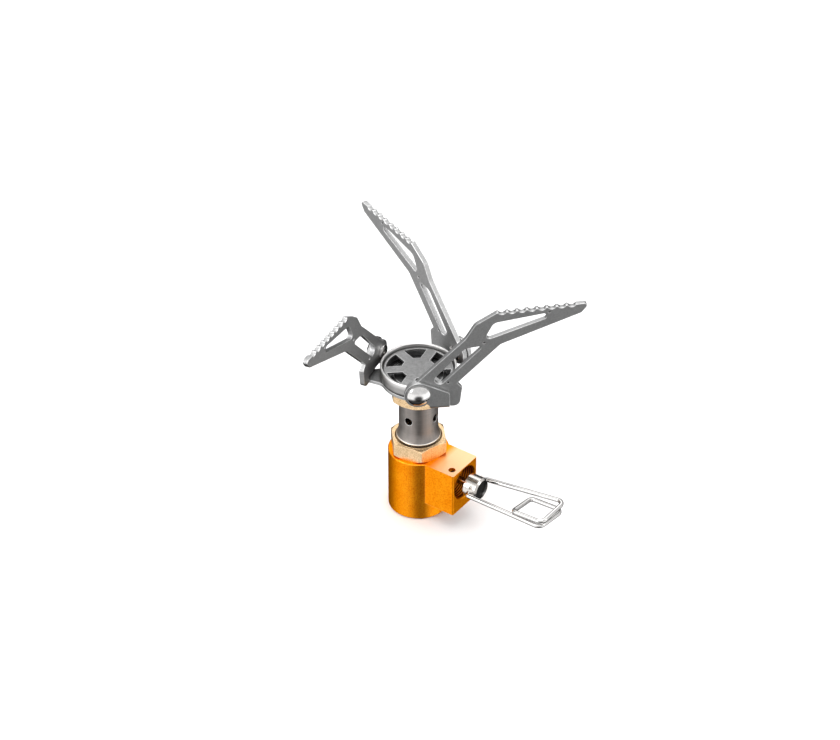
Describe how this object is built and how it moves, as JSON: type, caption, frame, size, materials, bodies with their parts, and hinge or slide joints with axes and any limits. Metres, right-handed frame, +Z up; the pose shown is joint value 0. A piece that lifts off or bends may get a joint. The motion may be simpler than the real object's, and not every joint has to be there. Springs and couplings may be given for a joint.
{
  "type": "canister stove",
  "caption": "Upright canister-top camping stove with a gas valve, wire control handle, mixing tube, round burner and folding toothed pot supports.",
  "frame": {"origin": "centre of the canister end of the valve body, on the axis of the canister thread", "axes": "+Z up along the valve body, mixing tube and burner axis; +X along the valve spindle towards the knob and wire handle"},
  "size_m": [0.1116, 0.0958, 0.0991],
  "materials": {
    "orange_anodised": "bead-blasted, orange anodised",
    "gold_anodised": "bead-blasted, pale gold anodised",
    "titanium_tube": "satin titanium tube",
    "titanium_plate": "matte blasted titanium plate",
    "burner_metal": "satin pressed sheet",
    "polished_steel": "polished stainless steel",
    "brass": "machined",
    "seal_rubber": "moulded nitrile"
  },
  "bodies": {
    "stove": {"valve_body": "orange_anodised", "canister_seal": "seal_rubber", "valve_pin": "brass", "inlet_filter": "polished_steel", "gland_nut": "brass", "jet": "brass", "lower_nut": "gold_anodised", "mixing_tube": "titanium_tube", "upper_nut": "gold_anodised", "arm_bracket": "titanium_plate", "burner_cup": "burner_metal", "diffuser": "burner_metal", "burner_top": "burner_metal", "rivets": "polished_steel"},
    "stem_seal": {"stem_seal": "seal_rubber"},
    "spindle": {"valve_spindle": "polished_steel", "knob": "polished_steel", "knob_pin": "polished_steel"},
    "handle": {"handle": "polished_steel"},
    "support_1": {"pot_support_1": "titanium_plate"},
    "support_2": {"pot_support_2": "titanium_plate"},
    "support_3": {"pot_support_3": "titanium_plate"}
  },
  "joints": [
    {"name": "knob_travel", "type": "slide", "parent": "stove", "child": "stem_seal", "axis": [1, 0, 0], "range_m": [0, 0.001]},
    {"name": "knob_turn", "type": "hinge", "parent": "stem_seal", "child": "spindle", "pos_m": [0.026, 0, 0.0186], "axis": [1, 0, 0], "range_deg": [0, 720]},
    {"name": "handle_fold", "type": "hinge", "parent": "spindle", "child": "handle", "pos_m": [0.026, 0, 0.0186], "axis": [0, 1, 0], "range_deg": [-100, 95]},
    {"name": "support_fold_1", "type": "hinge", "parent": "stove", "child": "support_1", "pos_m": [0.00958, -0.01369, 0.064], "axis": [0.6626, -0.749, 0], "range_deg": [0, 185]},
    {"name": "support_fold_2", "type": "hinge", "parent": "stove", "child": "support_2", "pos_m": [0.00707, 0.01514, 0.064], "axis": [0.3173, 0.9483, 0], "range_deg": [0, 185]},
    {"name": "support_fold_3", "type": "hinge", "parent": "stove", "child": "support_3", "pos_m": [-0.01665, -0.00145, 0.064], "axis": [-0.9799, -0.1994, 0], "range_deg": [0, 185]}
  ],
  "couplings": [
    {"joint": "knob_travel", "follows": "knob_turn", "m_per_rad": 0.000079577},
    {"joint": "support_fold_2", "follows": "support_fold_1", "ratio": 1},
    {"joint": "support_fold_3", "follows": "support_fold_1", "ratio": 1}
  ]
}
